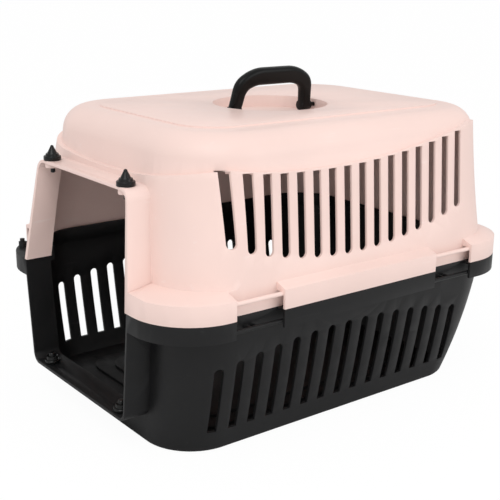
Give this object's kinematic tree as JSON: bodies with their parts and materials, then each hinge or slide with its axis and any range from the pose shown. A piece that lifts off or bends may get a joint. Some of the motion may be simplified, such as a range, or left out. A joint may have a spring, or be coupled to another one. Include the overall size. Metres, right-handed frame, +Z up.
{
  "type": "pet carrier",
  "caption": "Two-part plastic pet carrier with an open doorway, slotted sides, a raised belt where the halves meet, and a folding carry handle in a round roof recess.",
  "frame": {"origin": "under the middle of the belt, on the ground", "axes": "+Z up, -Y out of the doorway, +X to the side that faces the camera"},
  "size_m": [0.386, 0.493, 0.3677],
  "materials": {
    "tray_plastic": "satin injection-moulded",
    "shell_plastic": "satin injection-moulded",
    "handle_plastic": "fine grain, satin",
    "pin_plastic": "smooth"
  },
  "bodies": {
    "tray": {"bottom_tray": "tray_plastic", "door_stub_left": "pin_plastic", "door_stub_right": "pin_plastic"},
    "lid": {"top_shell": "shell_plastic"},
    "handle": {"carry_handle": "handle_plastic"},
    "left_pin": {"door_pin_left": "pin_plastic"},
    "right_pin": {"door_pin_right": "pin_plastic"}
  },
  "joints": [
    {"name": "lid_lift", "type": "slide", "parent": "tray", "child": "lid", "axis": [0, 0, 1], "range_m": [0, 0.2]},
    {"name": "handle_swing", "type": "hinge", "parent": "lid", "child": "handle", "pos_m": [0, 0.0174, 0.319], "axis": [0, 1, 0], "range_deg": [-101, 77]},
    {"name": "left_pin_pull", "type": "slide", "parent": "lid", "child": "left_pin", "axis": [0, 0, 1], "range_m": [0, 0.008]},
    {"name": "right_pin_pull", "type": "slide", "parent": "lid", "child": "right_pin", "axis": [0, 0, 1], "range_m": [0, 0.008]}
  ]
}
